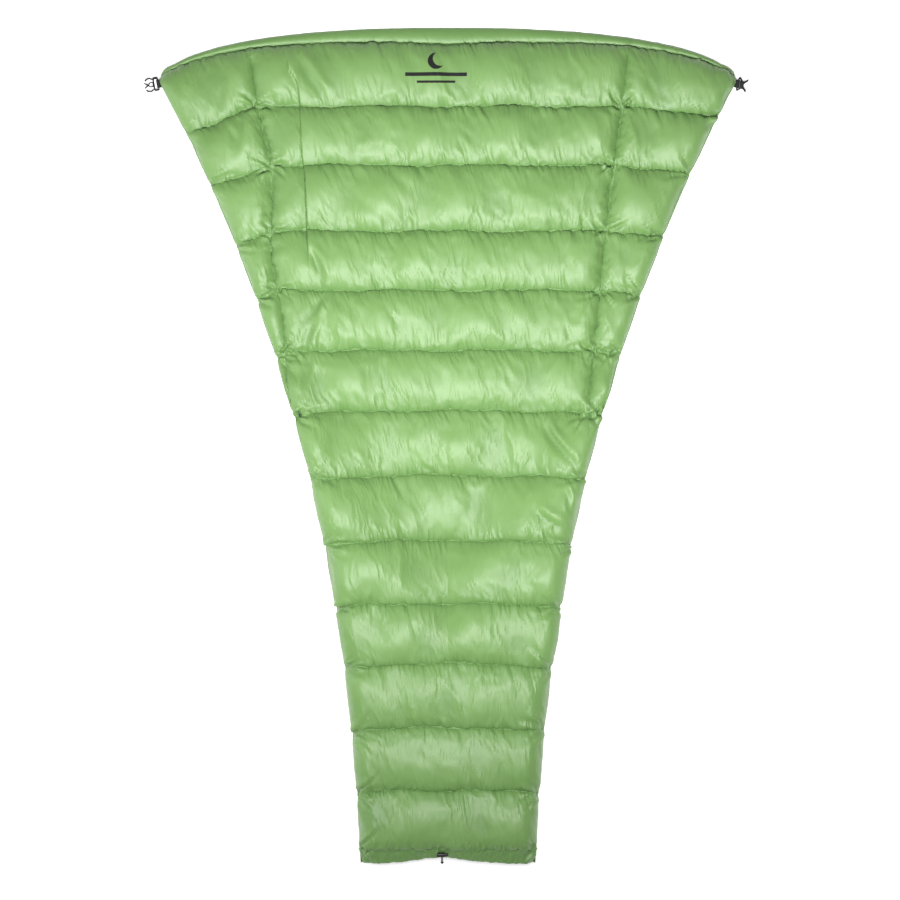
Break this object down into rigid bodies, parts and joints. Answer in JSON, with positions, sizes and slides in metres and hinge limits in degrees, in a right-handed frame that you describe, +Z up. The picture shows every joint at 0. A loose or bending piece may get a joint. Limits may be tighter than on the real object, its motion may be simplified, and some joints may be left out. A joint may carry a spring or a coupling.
{
  "type": "camp quilt",
  "caption": "Tapered down quilt laid flat, with fold-up side panels, a zipped footbox, neck buckles and a foot drawcord with a cord lock.",
  "frame": {"origin": "on the surface that the quilt lies on, below the middle of its outer box", "axes": "+Y towards the head end along the quilt's length, +Z up through its loft with the outer face up, +X to the right seen from above"},
  "size_m": [1.4514, 2, 0.0927],
  "materials": {
    "shell_nylon": "glossy",
    "lining_nylon": "satin",
    "down_fill": "matte",
    "elastic": "matte",
    "webbing": "matte",
    "cord": "matte",
    "zip_tape": "matte",
    "zip_coil": "gloss",
    "buckle_plastic": "satin",
    "lock_plastic": "satin",
    "slider_metal": "satin",
    "steel": "bright"
  },
  "bodies": {
    "quilt": {"outer_shell_center": "shell_nylon", "lining_center": "lining_nylon", "lining_footbox": "lining_nylon", "down_chamber_01": "down_fill", "down_chamber_02": "down_fill", "down_chamber_03": "down_fill", "down_chamber_04": "down_fill", "down_chamber_05": "down_fill", "down_chamber_06": "down_fill", "down_chamber_07": "down_fill", "down_chamber_08": "down_fill", "down_chamber_09": "down_fill", "down_chamber_10": "down_fill", "down_chamber_11": "down_fill", "down_chamber_12": "down_fill", "down_chamber_13": "down_fill", "left_side_seam": "shell_nylon", "right_side_seam": "shell_nylon", "neck_elastic": "elastic", "under_left_down": "down_fill", "under_left_lining": "lining_nylon", "under_left_shell": "shell_nylon", "under_right_down": "down_fill", "under_right_lining": "lining_nylon", "under_right_shell": "shell_nylon", "left_side_fold": "shell_nylon", "right_side_fold": "shell_nylon", "foot_hem_top": "shell_nylon", "foot_hem_under_left": "shell_nylon", "foot_hem_under_right": "shell_nylon", "foot_drawcord_left": "cord", "foot_drawcord_right": "cord", "zip_coil_left": "zip_coil", "zip_coil_right": "zip_coil", "zip_tape_left": "zip_tape", "zip_tape_right": "zip_tape"},
    "left_wing": {"left_wing_down": "down_fill", "left_wing_shell": "shell_nylon", "left_wing_lining": "lining_nylon", "left_wing_hem": "shell_nylon", "left_webbing_tab": "webbing"},
    "right_wing": {"right_wing_down": "down_fill", "right_wing_shell": "shell_nylon", "right_wing_lining": "lining_nylon", "right_wing_hem": "shell_nylon", "right_webbing_tab": "webbing"},
    "left_buckle": {"male_buckle_base": "buckle_plastic"},
    "buckle_arm_head": {"male_buckle_arm_head": "buckle_plastic"},
    "buckle_arm_foot": {"male_buckle_arm_foot": "buckle_plastic"},
    "right_buckle": {"female_buckle": "buckle_plastic"},
    "cord_lock": {"cord_lock_barrel": "lock_plastic", "cord_lock_spring": "steel"},
    "lock_plunger": {"cord_lock_plunger": "lock_plastic"},
    "slider": {"zip_slider": "slider_metal"},
    "pull": {"zip_pull": "steel"}
  },
  "joints": [
    {"name": "left_wing_fold", "type": "hinge", "parent": "quilt", "child": "left_wing", "pos_m": [-0.38085, 0.21938, 0.02], "axis": [-0.1229, 0.9924, 0], "range_deg": [0, 120]},
    {"name": "right_wing_fold", "type": "hinge", "parent": "quilt", "child": "right_wing", "pos_m": [0.35807, 0.21938, 0.02], "axis": [-0.1101, -0.9939, 0], "range_deg": [0, 120]},
    {"name": "left_buckle_swivel", "type": "hinge", "parent": "left_wing", "child": "left_buckle", "pos_m": [-0.68981, 0.86577, 0.0052], "axis": [0.1736, -0.9848, 0], "range_deg": [-80, 80]},
    {"name": "right_buckle_swivel", "type": "hinge", "parent": "right_wing", "child": "right_buckle", "pos_m": [0.70071, 0.8653, 0.0052], "axis": [0.2419, 0.9703, 0], "range_deg": [-80, 80]},
    {"name": "buckle_arm_head_flex", "type": "hinge", "parent": "left_buckle", "child": "buckle_arm_head", "pos_m": [-0.70505, 0.87507, 0.0052], "axis": [0, 0, 1], "range_deg": [0, 6], "stiffness_Nm_per_rad": 0.5},
    {"name": "buckle_arm_foot_flex", "type": "hinge", "parent": "left_buckle", "child": "buckle_arm_foot", "pos_m": [-0.70095, 0.85183, 0.0052], "axis": [0, 0, -1], "range_deg": [0, 6], "stiffness_Nm_per_rad": 0.5},
    {"name": "cord_lock_slide", "type": "slide", "parent": "quilt", "child": "cord_lock", "axis": [0, -1, 0], "range_m": [0, 0.01]},
    {"name": "lock_plunger_press", "type": "slide", "parent": "cord_lock", "child": "lock_plunger", "axis": [-1, 0, 0], "range_m": [0, 0.005], "stiffness_N_per_m": 200, "springref_m": -0.002, "deforming": ["cord_lock_spring"]},
    {"name": "zip_slider_travel", "type": "slide", "parent": "quilt", "child": "slider", "axis": [0, -1, 0], "range_m": [0, 0.56]},
    {"name": "zip_pull_swing", "type": "hinge", "parent": "slider", "child": "pull", "pos_m": [0.0055, -0.38231, 0.0036], "axis": [1, 0, 0], "range_deg": [-10, 160]}
  ]
}
